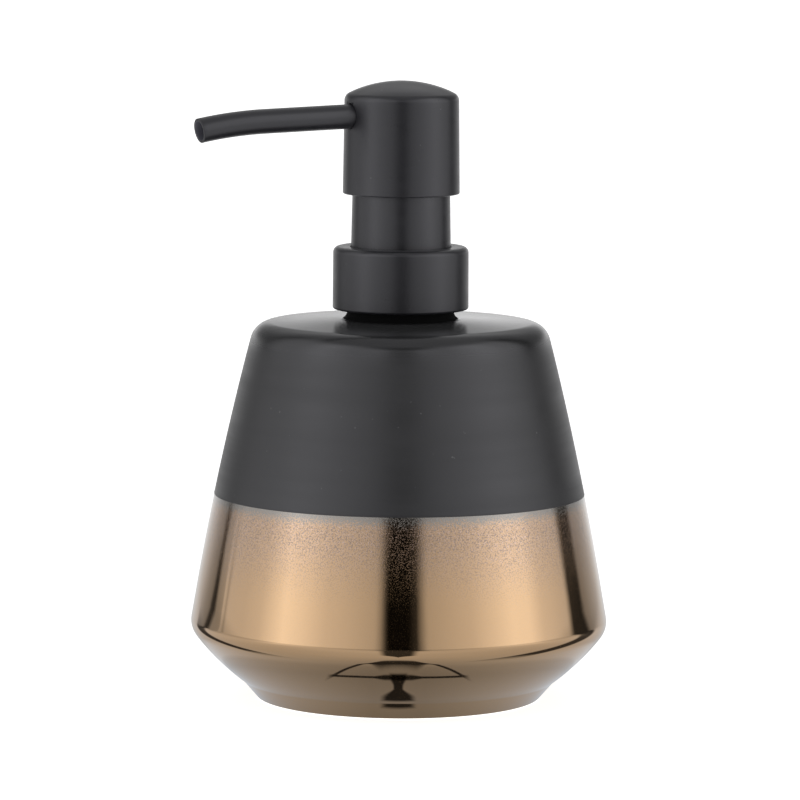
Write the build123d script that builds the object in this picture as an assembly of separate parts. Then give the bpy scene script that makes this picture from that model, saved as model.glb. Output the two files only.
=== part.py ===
from build123d import *
import math
import os

# Soap dispenser: a slip-cast ceramic bottle with a screwed-on lotion pump.
# +Z is up, the origin is the centre of the resting face and the spout points along -X.
# Sizes are in millimetres. Heights are measured from the resting face, and an outline
# is a list of (radius, height) points that is turned about the Z axis.

# --- Driving dimensions: bottle ------------------------------------------------------
FOOT_Z = 0.3                # the foam pad stands this far proud of the ceramic foot
FOOT_R = 34.2
FOOT_EDGE = 0.8             # rounding of the foot's outer edge
FOOT_RING_INNER_R = 29.5
RECESS_DEPTH = 1.6          # hollow under the base, which holds the pad
KINK_R, KINK_Z, KINK_ROUND = 37.9, 4.5, 3.6
CHAMFER_BULGE = 0.7         # the slope from the foot to the belly bows out by this much
BELLY_R, BELLY_Z, BELLY_ROUND = 50.7, 17.5, 5.3
SHOULDER_R, SHOULDER_Z, SHOULDER_ROUND = 35.2, 91.3, 5.2
WALL_BULGE = 0.93           # the long wall bows outwards by this much at mid height
WALL = 4.2
FLOOR_Z = 6.8
NECK_BASE_R, NECK_BASE_Z = 12.9, 92.2
NECK_R = 12.6
NECK_BORE_R = 9.5
RIM_Z = 104.65

# --- Driving dimensions: screw thread, 28 mm neck, six turns to the inch -------------
THREAD_PITCH = 25.4 / 6
THREAD_SINK = 0.3           # how far a ridge's root is sunk into its wall
NECK_THREAD_R = 13.55       # crest of the bottle's ridge
NECK_THREAD_Z = 96.9
NECK_THREAD_TURNS = 1.25
CAP_BORE_R = 13.95
CAP_THREAD_R = 13.0         # crest of the cap's ridge
CAP_THREAD_DROP = 1.5       # the cap's ridge lies this far under the bottle's

# --- Driving dimensions: screw cap and collar ----------------------------------------
CAP_BOTTOM_Z = 95.3
CAP_PLATE_Z = 107.3
CAP_TOP_Z = 108.7
CAP_R = 14.5
CAP_RIB_R = 14.95
CAP_RIB_COUNT = 24
CAP_RIB_WIDTH = 1.2
CAP_HOLE_R = 9.2
COLLAR_BOTTOM_Z, COLLAR_BOTTOM_R = 94.62, 16.40
COLLAR_TOP_Z, COLLAR_TOP_R = 109.72, 16.33
COLLAR_BORE_R = 15.0
COLLAR_HOLE_R = 12.2

# --- Driving dimensions: pump barrel and its valve -----------------------------------
GASKET_Z = RIM_Z + 0.05
FLANGE_Z = 105.7
FLANGE_TOP_Z = 107.2
FLANGE_R = 12.3
GASKET_INNER_R = 8.3
BARREL_R = 8.2
BARREL_BORE_R = 7.0
BARREL_TOP_R = 8.6
BARREL_TOP_Z = 110.8
LEDGE_Z = 68.3              # where the main bore ends and the ball cage sits
LEDGE_BORE_R = 4.2
BALL_WAY_Z, BALL_WAY_R = 65.8, 3.0
SEAT_Z, SEAT_R = 60.8, 1.9
SOCKET_Z = 59.3             # top of the dip tube's socket
NIPPLE_Z, NIPPLE_R = 50.3, 4.6
VENT_Z, VENT_R = 104.2, 0.6
INLET_BALL_R = 2.5
OUTLET_BALL_R = 2.0
BALL_GAP = 0.03             # clearance between a resting ball and its seat
TUBE_R, TUBE_BORE_R = 3.2, 2.4
TUBE_TIP_Z = 8.6
TUBE_CUT_ANGLE = 35.0

# --- Driving dimensions: piston, spring and stem -------------------------------------
SPRING_R = 4.6
SPRING_WIRE_R = 0.5
SPRING_TURNS = 8
SPRING_END_GAP = 0.05
PLUG_FLANGE_Z, PLUG_FLANGE_R = 94.9, 5.2
STEM_BOTTOM_Z = 96.7
STEM_SHOULDER_Z = 101.7
STEM_TOP_Z = 135.8
STEM_R = 3.5
STEM_SPIGOT_R = 3.0
STEM_BORE_R = 1.6
OUTLET_SEAT_Z = 129.8
OUTLET_CHAMBER_R = 2.4
RUNNING_GAP = 0.05
PISTON_PLAY = 0.1
PISTON_R = BARREL_BORE_R - 0.03
GUIDE_BORE_R = STEM_R + 0.07
GUIDE_BOTTOM_Z = 101.9
GUIDE_PLATE_R, GUIDE_TOP_Z = 10.6, 112.8
SLEEVE_BOTTOM_Z, SLEEVE_BOTTOM_R = 108.9, 12.05
SLEEVE_TOP_Z, SLEEVE_TOP_R = 124.9, 11.73
SLEEVE_BORE_R = 10.9

# --- Driving dimensions: head and spout ----------------------------------------------
HEAD_BOTTOM_Z, HEAD_BOTTOM_R = 122.45, 14.09
HEAD_CORNER_Z, HEAD_CORNER_R = 146.16, 13.78
HEAD_CORNER_ROUND = 2.0
HEAD_TOP_Z = 149.64
HEAD_BORE_R = 12.43
HEAD_CEILING = 1.4          # thickness of the dome
CORE_STEP_R = 11.6          # the core stops against a step of this bore
CORE_R = 12.40
CORE_BOTTOM_Z, CORE_TOP_Z = 137.5, 144.7
BOSS_R, BOSS_BOTTOM_Z = 5.5, 125.9
RETAINER_R, RETAINER_Z = 2.3, 133.7
CHANNEL_R = 1.5
SPOUT_R, SPOUT_BORE_R = 2.95, 2.35
SPOUT_AXIS_Z = 141.3        # height of the spout's axis where it leaves the head
SPOUT_DROOP = 1.8           # degrees below level of the straight part
SPOUT_START = 4.0           # distances out from the pump's axis
SPOUT_BEND_START = 35.8
SPOUT_BEND_R = 110.0
SPOUT_BEND_ANGLE = 9.0
SPOUT_HOLE_R = 3.15
SEAL_R, SEAL_WIRE_R = 3.52, 0.55
SEAL_SEAT = 9.5


# --- Helpers -------------------------------------------------------------------------
def outline(*points):
    """Closed flat face through straight runs."""
    return make_face(Polyline(*points, close=True)).face()


def rounded(face, *corners):
    """Round corners of a flat face, each given as (radius, height, rounding)."""
    for r, z, rounding in corners:
        corner = face.vertices().sort_by_distance((r, z))[0]
        face = face.fillet_2d(rounding, [corner])
    return face


def turned(face):
    """Solid of revolution about Z of a (radius, height) face."""
    return revolve(Plane.XZ * face, Axis.Z)


def disc(inner, outer, bottom, top):
    """Plain ring with square edges."""
    return turned(outline((inner, bottom), (outer, bottom), (outer, top), (inner, top)))


def resting_height(ball_r, seat_r, seat_z):
    """Height of a ball's centre when it sits on the edge of a round hole."""
    return seat_z + math.sqrt(ball_r**2 - seat_r**2) + BALL_GAP


def thread_ridge(wall_r, crest_r, root_width, crest_width, turns):
    """Right-hand ridge that starts at height 0 in the +X direction."""
    root_r = wall_r - math.copysign(THREAD_SINK, crest_r - wall_r)
    section = outline(
        (root_r, -root_width / 2),
        (crest_r, -crest_width / 2),
        (crest_r, crest_width / 2),
        (root_r, root_width / 2),
    )
    path = Helix(THREAD_PITCH, THREAD_PITCH * turns, root_r)
    return sweep(Plane.XZ * section, path=path, is_frenet=True)


def spout_height(reach):
    """Height of the spout's straight axis at a distance out from the pump's axis."""
    return SPOUT_AXIS_Z - math.tan(math.radians(SPOUT_DROOP)) * (reach - HEAD_CORNER_R)


def along_spout(shape, reach):
    """Carry a shape from the Z axis to the spout's axis, standing at the given reach."""
    droop = math.radians(SPOUT_DROOP)
    outwards = (-math.cos(droop), 0, -math.sin(droop))
    return Plane((-reach, 0, spout_height(reach)), x_dir=(0, 1, 0), z_dir=outwards) * shape


def rod(radius, length):
    """Cylinder that stands on the XY plane."""
    return Cylinder(radius, length, align=(Align.CENTER, Align.CENTER, Align.MIN))


# --- Bottle --------------------------------------------------------------------------
def bowed_wall(bottom, top, bulge=WALL_BULGE):
    """Shallow arc between two points that bows away from the axis."""
    (r0, z0), (r1, z1) = bottom, top
    chord = math.hypot(r1 - r0, z1 - z0)
    middle = (
        (r0 + r1) / 2 + bulge * (z1 - z0) / chord,
        (z0 + z1) / 2 - bulge * (r1 - r0) / chord,
    )
    return ThreePointArc(bottom, middle, top)


def bottle_section():
    """Half section of the bottle without its thread."""
    kink = (KINK_R, KINK_Z)
    belly = (BELLY_R, BELLY_Z)
    shoulder = (SHOULDER_R, SHOULDER_Z)
    inner_belly = (BELLY_R - WALL, BELLY_Z + 1.6)
    inner_shoulder = (SHOULDER_R - WALL, SHOULDER_Z - WALL)
    neck_flare = 0.3
    recess_z = FOOT_Z + RECESS_DEPTH
    outside = Polyline(
        (0, recess_z),
        (FOOT_RING_INNER_R, recess_z),
        (FOOT_RING_INNER_R, FOOT_Z),
        (FOOT_R, FOOT_Z),
        kink,
    )
    chamfer = bowed_wall(kink, belly, CHAMFER_BULGE)
    top = Polyline(
        shoulder,
        (NECK_BASE_R, NECK_BASE_Z),
        (NECK_BASE_R, CAP_BOTTOM_Z - neck_flare),
        (NECK_R, CAP_BOTTOM_Z),
        (NECK_R, RIM_Z),
        (NECK_BORE_R, RIM_Z),
        (NECK_BORE_R, SHOULDER_Z - WALL + 0.9),
        inner_shoulder,
    )
    floor = Polyline(inner_belly, (FOOT_R - 1.5, FLOOR_Z), (0, FLOOR_Z), (0, recess_z))
    inner_wall = bowed_wall(inner_belly, inner_shoulder)
    edges = [outside, chamfer, bowed_wall(belly, shoulder), top, inner_wall, floor]
    face = make_face([edge for line in edges for edge in line.edges()]).face()
    return rounded(
        face,
        (FOOT_RING_INNER_R, FOOT_Z, 0.6),
        (FOOT_R, FOOT_Z, FOOT_EDGE),
        (*kink, KINK_ROUND),
        (*belly, BELLY_ROUND),
        (*shoulder, SHOULDER_ROUND),
        (NECK_BASE_R, NECK_BASE_Z, 0.8),
        (NECK_R, RIM_Z, 0.5),
        (NECK_BORE_R, RIM_Z, 0.5),
        (NECK_BORE_R, SHOULDER_Z - WALL + 0.9, 2.0),
        (*inner_shoulder, 3.0),
        (*inner_belly, 4.0),
        (FOOT_R - 1.5, FLOOR_Z, 3.0),
    )


def bottle():
    ridge = thread_ridge(NECK_R, NECK_THREAD_R, 2.4, 1.0, NECK_THREAD_TURNS)
    return turned(bottle_section()) + Pos(0, 0, NECK_THREAD_Z) * ridge


def base_pad():
    pad_r = FOOT_RING_INNER_R - 0.7
    pad = outline((0, 0), (pad_r, 0), (pad_r, FOOT_Z + RECESS_DEPTH), (0, FOOT_Z + RECESS_DEPTH))
    return turned(rounded(pad, (pad_r, 0, 0.25)))


# --- Screw cap and its collar --------------------------------------------------------
def closure():
    """Screw cap: a ribbed skirt with a thread inside and a hole for the pump."""
    body = turned(
        outline(
            (CAP_BORE_R, CAP_BOTTOM_Z),
            (CAP_R, CAP_BOTTOM_Z),
            (CAP_R, CAP_TOP_Z),
            (CAP_HOLE_R, CAP_TOP_Z),
            (CAP_HOLE_R, CAP_PLATE_Z),
            (CAP_BORE_R, CAP_PLATE_Z),
        )
    )
    rib_depth = CAP_RIB_R - CAP_R + 0.2
    rib = Box(
        rib_depth,
        CAP_RIB_WIDTH,
        CAP_TOP_Z - CAP_BOTTOM_Z - 1.0,
        align=(Align.MAX, Align.CENTER, Align.MIN),
    )
    ribs = [
        Pos(0, 0, CAP_BOTTOM_Z + 0.5) * place * rib
        for place in PolarLocations(CAP_RIB_R, CAP_RIB_COUNT)
    ]
    start_angle = 90
    start_z = NECK_THREAD_Z - CAP_THREAD_DROP + THREAD_PITCH * start_angle / 360
    ridge = thread_ridge(CAP_BORE_R, CAP_THREAD_R, 2.0, 0.9, 1.0)
    return body + ribs + Pos(0, 0, start_z) * Rot(0, 0, start_angle) * ridge


def collar_shell():
    """Smooth shell over the screw cap."""
    face = outline(
        (COLLAR_BORE_R, COLLAR_BOTTOM_Z),
        (COLLAR_BOTTOM_R, COLLAR_BOTTOM_Z),
        (COLLAR_TOP_R, COLLAR_TOP_Z),
        (COLLAR_HOLE_R, COLLAR_TOP_Z),
        (COLLAR_HOLE_R, CAP_TOP_Z),
        (COLLAR_BORE_R, CAP_TOP_Z),
    )
    return turned(
        rounded(
            face,
            (COLLAR_BOTTOM_R, COLLAR_BOTTOM_Z, 0.6),
            (COLLAR_BORE_R, COLLAR_BOTTOM_Z, 0.3),
            (COLLAR_TOP_R, COLLAR_TOP_Z, 1.4),
            (COLLAR_HOLE_R, COLLAR_TOP_Z, 0.25),
        )
    )


# --- Barrel, foot valve and dip tube -------------------------------------------------
def neck_gasket():
    return disc(GASKET_INNER_R, FLANGE_R, GASKET_Z, FLANGE_Z)


def barrel():
    """Pump cylinder with its flange, inlet seat and dip-tube socket."""
    socket_r = TUBE_R + RUNNING_GAP
    body = turned(
        outline(
            (socket_r, NIPPLE_Z),
            (NIPPLE_R, NIPPLE_Z),
            (NIPPLE_R, SOCKET_Z + 0.5),
            (NIPPLE_R + 0.6, SOCKET_Z + 1.3),
            (NIPPLE_R + 0.6, LEDGE_Z - 2.7),
            (BARREL_R, LEDGE_Z - 0.5),
            (BARREL_R, FLANGE_Z),
            (FLANGE_R, FLANGE_Z),
            (FLANGE_R, FLANGE_TOP_Z),
            (BARREL_TOP_R, FLANGE_TOP_Z),
            (BARREL_TOP_R, BARREL_TOP_Z),
            (BARREL_BORE_R, BARREL_TOP_Z),
            (BARREL_BORE_R, LEDGE_Z),
            (LEDGE_BORE_R, LEDGE_Z),
            (LEDGE_BORE_R, BALL_WAY_Z),
            (BALL_WAY_R, BALL_WAY_Z),
            (BALL_WAY_R, SEAT_Z),
            (SEAT_R, SEAT_Z),
            (SEAT_R, SOCKET_Z),
            (socket_r, SOCKET_Z),
        )
    )
    vent = Pos(0, 0, VENT_Z) * Rot(0, 90, 0) * rod(VENT_R, FLANGE_R)
    return body - vent


def ball_cage():
    """Ring with a cross bar that keeps the inlet ball in and carries the spring."""
    tube_z = BALL_WAY_Z + 0.7
    bar_height = 1.2
    body = turned(
        outline(
            (BALL_WAY_R + 0.2, tube_z),
            (LEDGE_BORE_R - 0.1, tube_z),
            (LEDGE_BORE_R - 0.1, LEDGE_Z),
            (BARREL_BORE_R - 0.1, LEDGE_Z),
            (BARREL_BORE_R - 0.1, LEDGE_Z + 1.2),
            (BALL_WAY_R + 0.2, LEDGE_Z + 1.2),
        )
    )
    bar = Box(
        2 * BALL_WAY_R + 0.8,
        bar_height,
        bar_height,
        align=(Align.CENTER, Align.CENTER, Align.MIN),
    )
    return body + Pos(0, 0, tube_z) * bar


def inlet_ball():
    centre = resting_height(INLET_BALL_R, SEAT_R, SEAT_Z)
    return Pos(0, 0, centre) * Sphere(INLET_BALL_R)


def dip_tube():
    """Straight tube from the barrel to the bottle's floor, its lower end cut slanting."""
    tube = Pos(0, 0, TUBE_TIP_Z) * (
        rod(TUBE_R, SOCKET_Z - TUBE_TIP_Z) - rod(TUBE_BORE_R, SOCKET_Z - TUBE_TIP_Z)
    )
    cut_depth = 10.0
    slant = Rot(0, TUBE_CUT_ANGLE, 0) * Box(
        4 * cut_depth,
        2 * cut_depth,
        cut_depth,
        align=(Align.CENTER, Align.CENTER, Align.MAX),
    )
    cut_z = TUBE_TIP_Z + TUBE_R * math.tan(math.radians(TUBE_CUT_ANGLE))
    return tube - Pos(0, 0, cut_z) * slant


# --- Spring, piston and stem ---------------------------------------------------------
def spring():
    """Compression spring between the ball cage and the stem's plug."""
    end = SPRING_WIRE_R + SPRING_END_GAP
    bottom = LEDGE_Z + 1.2 + end
    height = PLUG_FLANGE_Z - end - bottom
    path = Helix(height / SPRING_TURNS, height, SPRING_R)
    wire = Plane(path @ 0, z_dir=path % 0) * Circle(SPRING_WIRE_R)
    return Pos(0, 0, bottom) * sweep(wire, path=path, is_frenet=True)


def stem_plug():
    """Lower end of the stem, which holds the piston and pushes the spring."""
    bore_r = STEM_BORE_R - 0.3
    nose_r = SPRING_R - SPRING_WIRE_R - 0.7
    nose_z = PLUG_FLANGE_Z - 3.6
    spigot_r = STEM_BORE_R + 0.6
    return turned(
        outline(
            (bore_r, nose_z),
            (nose_r - 0.6, nose_z),
            (nose_r, nose_z + 0.6),
            (nose_r, PLUG_FLANGE_Z),
            (PLUG_FLANGE_R, PLUG_FLANGE_Z),
            (PLUG_FLANGE_R, STEM_BOTTOM_Z),
            (spigot_r, STEM_BOTTOM_Z),
            (spigot_r, STEM_SHOULDER_Z - 0.9),
            (bore_r, STEM_SHOULDER_Z - 0.9),
        )
    )


def piston():
    """Double-lip seal that is free to turn on the stem."""
    bottom = STEM_BOTTOM_Z + PISTON_PLAY
    top = STEM_SHOULDER_Z - PISTON_PLAY
    hub_r = STEM_SPIGOT_R + 2.0
    groove_r = hub_r + 0.9
    waist_r = PISTON_R - 0.37
    lip_r = PISTON_R - 0.77
    return turned(
        outline(
            (STEM_SPIGOT_R + RUNNING_GAP, bottom),
            (hub_r, bottom),
            (hub_r, bottom + 1.6),
            (groove_r, bottom + 1.6),
            (lip_r, bottom),
            (PISTON_R, bottom),
            (PISTON_R, bottom + 0.8),
            (waist_r, bottom + 1.6),
            (waist_r, top - 1.6),
            (PISTON_R, top - 0.8),
            (PISTON_R, top),
            (lip_r, top),
            (groove_r, top - 1.6),
            (hub_r, top - 1.6),
            (hub_r, top),
            (STEM_SPIGOT_R + RUNNING_GAP, top),
        )
    )


def stem():
    """Hollow rod from the piston up into the head, with the outlet seat near its top."""
    plug_bore_r = STEM_BORE_R + 0.6 + RUNNING_GAP
    return turned(
        outline(
            (plug_bore_r, STEM_BOTTOM_Z),
            (STEM_SPIGOT_R, STEM_BOTTOM_Z),
            (STEM_SPIGOT_R, STEM_SHOULDER_Z),
            (STEM_R, STEM_SHOULDER_Z),
            (STEM_R, STEM_TOP_Z),
            (OUTLET_CHAMBER_R, STEM_TOP_Z),
            (OUTLET_CHAMBER_R, OUTLET_SEAT_Z),
            (STEM_BORE_R, OUTLET_SEAT_Z),
            (STEM_BORE_R, STEM_SHOULDER_Z - 0.4),
            (plug_bore_r, STEM_SHOULDER_Z - 0.4),
        )
    )


def outlet_ball():
    centre = resting_height(OUTLET_BALL_R, STEM_BORE_R, OUTLET_SEAT_Z)
    return Pos(0, 0, centre) * Sphere(OUTLET_BALL_R)


def stem_guide():
    """Snap-in cap of the barrel: it guides the stem and holds the sleeve down."""
    ring_r = BARREL_BORE_R - RUNNING_GAP
    skirt_r = BARREL_TOP_R + 0.1
    grip_r = GUIDE_PLATE_R - 0.6
    return turned(
        outline(
            (GUIDE_BORE_R, GUIDE_BOTTOM_Z),
            (GUIDE_BORE_R + 1.6, GUIDE_BOTTOM_Z),
            (GUIDE_BORE_R + 1.6, BARREL_TOP_Z),
            (ring_r - 0.95, BARREL_TOP_Z),
            (ring_r - 0.95, FLANGE_TOP_Z),
            (ring_r, FLANGE_TOP_Z),
            (ring_r, BARREL_TOP_Z),
            (skirt_r, BARREL_TOP_Z),
            (skirt_r, SLEEVE_BOTTOM_Z),
            (grip_r, SLEEVE_BOTTOM_Z),
            (grip_r, BARREL_TOP_Z),
            (GUIDE_PLATE_R, BARREL_TOP_Z),
            (GUIDE_PLATE_R, GUIDE_TOP_Z),
            (GUIDE_BORE_R, GUIDE_TOP_Z),
        )
    )


def guide_sleeve():
    """Outer sleeve that the head slides over."""
    flange_bore_r = GUIDE_PLATE_R - 0.6 + RUNNING_GAP
    face = outline(
        (flange_bore_r, SLEEVE_BOTTOM_Z),
        (SLEEVE_BOTTOM_R, SLEEVE_BOTTOM_Z),
        (SLEEVE_TOP_R, SLEEVE_TOP_Z),
        (SLEEVE_BORE_R, SLEEVE_TOP_Z),
        (SLEEVE_BORE_R, BARREL_TOP_Z),
        (flange_bore_r, BARREL_TOP_Z),
    )
    return turned(
        rounded(face, (SLEEVE_TOP_R, SLEEVE_TOP_Z, 0.35), (SLEEVE_BORE_R, SLEEVE_TOP_Z, 0.2))
    )


# --- Head and spout ------------------------------------------------------------------
def dome_radius():
    rise = HEAD_TOP_Z - HEAD_CORNER_Z
    return (HEAD_CORNER_R**2 + rise**2) / (2 * rise)


def dome_point(radius, r):
    """Point at distance r from the axis on a dome of the given radius."""
    centre_z = HEAD_TOP_Z - dome_radius()
    return (r, centre_z + math.sqrt(radius**2 - r**2))


def dome_arc(radius, outer_r):
    """Arc of a dome from the distance outer_r to the axis."""
    return ThreePointArc(
        dome_point(radius, outer_r), dome_point(radius, outer_r / 2), dome_point(radius, 0)
    )


def head_shell():
    """Domed push button, open below, with a hole for the spout."""
    inner_radius = dome_radius() - HEAD_CEILING
    inside_corner = dome_point(inner_radius, CORE_STEP_R)
    sides = Polyline(
        inside_corner,
        (CORE_STEP_R, CORE_TOP_Z),
        (HEAD_BORE_R, CORE_TOP_Z),
        (HEAD_BORE_R, HEAD_BOTTOM_Z),
        (HEAD_BOTTOM_R, HEAD_BOTTOM_Z),
        (HEAD_CORNER_R, HEAD_CORNER_Z),
    )
    crown = Line(dome_point(dome_radius(), 0), dome_point(inner_radius, 0))
    arcs = [dome_arc(dome_radius(), HEAD_CORNER_R), dome_arc(inner_radius, CORE_STEP_R)]
    face = make_face([*sides.edges(), crown.edge(), *(arc.edge() for arc in arcs)]).face()
    face = rounded(
        face,
        (HEAD_BORE_R, HEAD_BOTTOM_Z, 0.3),
        (HEAD_BOTTOM_R, HEAD_BOTTOM_Z, 0.4),
        (HEAD_CORNER_R, HEAD_CORNER_Z, HEAD_CORNER_ROUND),
    )
    hole = along_spout(rod(SPOUT_HOLE_R, 2 * SPOUT_R), CORE_STEP_R - 1.0)
    return turned(face) - hole


def head_core():
    """Inner moulding of the head: stem socket, ball stop, channel and spout socket."""
    stem_socket_r = STEM_R + 0.02
    edge = 0.8
    body = turned(
        outline(
            (0, CORE_TOP_Z),
            (0, STEM_TOP_Z),
            (stem_socket_r, STEM_TOP_Z),
            (stem_socket_r, BOSS_BOTTOM_Z),
            (BOSS_R, BOSS_BOTTOM_Z),
            (BOSS_R, CORE_BOTTOM_Z),
            (CORE_R, CORE_BOTTOM_Z),
            (CORE_R, CORE_TOP_Z - edge),
            (CORE_R - edge / 2, CORE_TOP_Z),
        )
    )
    retainer = Pos(0, 0, RETAINER_Z) * rod(RETAINER_R, STEM_TOP_Z - RETAINER_Z + 0.5)
    notch = Box(3 * RETAINER_R, 1.0, 1.0, align=(Align.CENTER, Align.CENTER, Align.MIN))
    notches = Pos(0, 0, RETAINER_Z) * (notch + Rot(0, 0, 90) * notch)
    channel = Pos(0, 0, RETAINER_Z) * rod(CHANNEL_R, spout_height(0) - RETAINER_Z)
    cross_channel = along_spout(rod(SPOUT_BORE_R, SPOUT_START + CHANNEL_R), -CHANNEL_R)
    socket = along_spout(rod(SPOUT_R + 0.03, CORE_R), SPOUT_START)
    seal_seat = along_spout(rod(SEAL_R + SEAL_WIRE_R + 0.03, CORE_R), SEAL_SEAT)
    return body + retainer - notches - channel - cross_channel - socket - seal_seat


def spout_seal():
    ring = Torus(SEAL_R, SEAL_WIRE_R)
    return along_spout(ring, SEAL_SEAT + SEAL_WIRE_R + 0.01)


def spout():
    """Thin tube that runs out straight from the head and then bends gently down."""
    start = (-SPOUT_START, spout_height(SPOUT_START))
    bend_start = (-SPOUT_BEND_START, spout_height(SPOUT_BEND_START))
    droop = math.radians(SPOUT_DROOP)
    heading = (-math.cos(droop), -math.sin(droop))
    straight = Line(start, bend_start)
    bend = JernArc(bend_start, heading, SPOUT_BEND_R, SPOUT_BEND_ANGLE)
    path = Plane.XZ * Wire([straight.edge(), bend.edge()])
    section = along_spout(Circle(SPOUT_R) - Circle(SPOUT_BORE_R), SPOUT_START)
    return sweep(section, path=path)


# --- Write one file per piece --------------------------------------------------------
PIECES = [
    bottle,
    base_pad,
    closure,
    collar_shell,
    neck_gasket,
    barrel,
    ball_cage,
    inlet_ball,
    dip_tube,
    spring,
    stem_plug,
    piston,
    stem,
    outlet_ball,
    stem_guide,
    guide_sleeve,
    head_shell,
    head_core,
    spout_seal,
    spout,
]

os.makedirs("parts", exist_ok=True)
for piece in PIECES:
    export_step(piece(), f"parts/{piece.__name__}.step")
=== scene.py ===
import math

import bmesh
import bpy
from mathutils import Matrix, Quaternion, Vector


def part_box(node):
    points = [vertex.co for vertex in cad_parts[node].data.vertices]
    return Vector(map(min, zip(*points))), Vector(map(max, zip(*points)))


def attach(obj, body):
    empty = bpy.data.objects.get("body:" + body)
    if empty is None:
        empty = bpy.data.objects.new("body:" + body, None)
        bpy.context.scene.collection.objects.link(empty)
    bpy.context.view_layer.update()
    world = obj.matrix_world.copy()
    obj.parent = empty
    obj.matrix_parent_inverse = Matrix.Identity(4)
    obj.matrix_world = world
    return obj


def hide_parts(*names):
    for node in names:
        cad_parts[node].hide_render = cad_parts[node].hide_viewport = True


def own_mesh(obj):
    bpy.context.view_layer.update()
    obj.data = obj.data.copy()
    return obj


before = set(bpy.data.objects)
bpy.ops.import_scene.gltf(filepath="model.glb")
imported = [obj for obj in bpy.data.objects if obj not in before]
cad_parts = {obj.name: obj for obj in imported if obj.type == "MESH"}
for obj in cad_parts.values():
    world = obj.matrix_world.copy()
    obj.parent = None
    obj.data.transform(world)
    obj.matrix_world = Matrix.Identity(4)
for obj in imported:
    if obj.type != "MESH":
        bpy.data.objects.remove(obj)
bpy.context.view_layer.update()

# The looks of the soap dispenser, in the CAD frame: +Z is up, the origin is the centre of
# the resting face and the spout points along -X. The sizes of the pieces are in
# millimetres, and MM turns them into metres. Node materials and the studio use metres.
MM = 0.001


# --- Sizes that the visible pieces share with the CAD model --------------------------
def corners(node):
    """Lowest and highest corner of a CAD node in millimetres."""
    low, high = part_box(node)
    return low / MM, high / MM


FOOT_Z = corners("bottle")[0].z
RIM_Z = corners("bottle")[1].z
PAD_R = corners("base_pad")[1].x
PAD_TOP_Z = corners("base_pad")[1].z
COLLAR_BOTTOM_Z, COLLAR_TOP_Z = corners("collar_shell")[0].z, corners("collar_shell")[1].z
SLEEVE_BOTTOM_Z, SLEEVE_TOP_Z = corners("guide_sleeve")[0].z, corners("guide_sleeve")[1].z
HEAD_BOTTOM_Z, HEAD_TOP_Z = corners("head_shell")[0].z, corners("head_shell")[1].z
CAP_TOP_Z = corners("closure")[1].z
BARREL_TOP_Z = corners("barrel")[1].z

# Corners are (radius, height) of the outline before it is rounded. The foot, kink, belly
# and bulges are rounded results of a fit to the half-width of the photograph's silhouette.
FOOT_R, FOOT_ROUND = 34.2, 0.8
FOOT_RING_R = 29.5          # inner edge of the ring that surrounds the pad
KINK, KINK_ROUND = (37.9, 4.5), 3.6
BELLY, BELLY_ROUND = (50.7, 17.5), 5.3
SHOULDER, SHOULDER_ROUND = (35.2, 91.3), 5.2
WALL_BULGE, CHAMFER_BULGE = 0.93, 0.7       # how far the long runs bow out at their middle
NECK_BASE, NECK_BASE_ROUND = (12.9, 92.2), 1.9
INNER_FLOOR = (32.7, 6.8)
INNER_BELLY = (46.5, 19.1)
INNER_SHOULDER = (31.0, 87.1)
NECK_BORE_R, NECK_BORE_Z = 9.5, 88.0        # the bore through the neck and where it begins
HOLLOW_Z = (5.0, 88.2)      # the inner faces below the neck lie between these heights
HALF_WALL = 2.0             # about half the wall's thickness
COAT_Z = 49.8               # the black coat ends here and the bronze glaze begins
COAT_STEP = 0.05            # thickness of the black coat's masked edge
THREAD_PITCH = 25.4 / 6
THREAD_Z = 96.9
THREAD_TURNS = 1.25
THREAD_HEIGHT = 0.95
THREAD_HALF, THREAD_FLANK = 1.2, 0.7        # half width of the ridge and of its sloping side
THREAD_RUNOUT = 0.06        # share of a turn over which the ridge fades at each end
NECK_R = 12.6
NECK_BAND_Z = 95.3          # the threaded band of the neck starts here
NECK_SHADE_Z = 92.3           # the neck is painted darker above this height, as painted shade
COLLAR_BORE_R, COLLAR_BOTTOM_R, COLLAR_TOP_R, COLLAR_HOLE_R = 15.0, 16.40, 16.33, 12.2
SLEEVE_SEAT_R, SLEEVE_BORE_R, SLEEVE_BOTTOM_R, SLEEVE_TOP_R = 10.05, 10.9, 12.05, 11.73
HEAD_BORE_R, HEAD_STEP_R, HEAD_STEP_Z, HEAD_BOTTOM_R = 12.43, 11.6, 144.7, 14.09
HEAD_CORNER, HEAD_CORNER_ROUND = (13.78, 146.16), 2.0
HEAD_CEILING = 1.4          # thickness of the dome
# The head's straight outer side lies farther out than this radius and below this height.
SKIN_MIN_R, SKIN_TOP_Z = 13.5, 144.0
DOME_R = 29.02
SPOUT_R, SPOUT_BORE_R = 2.95, 2.35
SPOUT_AXIS_Z = 141.3
SPOUT_DROOP = math.radians(1.8)
SPOUT_START, SPOUT_BEND_START = 4.0, 35.8
SPOUT_BEND_R, SPOUT_BEND_ANGLE = 110.0, math.radians(9.0)
SPOUT_HOLE_R = 3.15
SPOUT_LIP = 0.12            # rounding of the spout's mouth
DRILL_REACH = (6.5, 12.5)   # the hole is bored between these distances along the spout
SEAL_R, SEAL_WIRE_R, SEAL_REACH = 3.52, 0.55, 10.06

CAMERA_AZIMUTH = math.radians(-25.5)
CAMERA_ELEVATION = math.radians(6.5)
CAMERA_DISTANCE = 1.3291
CAMERA_TARGET_Z = 0.07244
CAMERA_ROLL = math.radians(0.35)
CAMERA_LENS = 247.5


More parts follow.
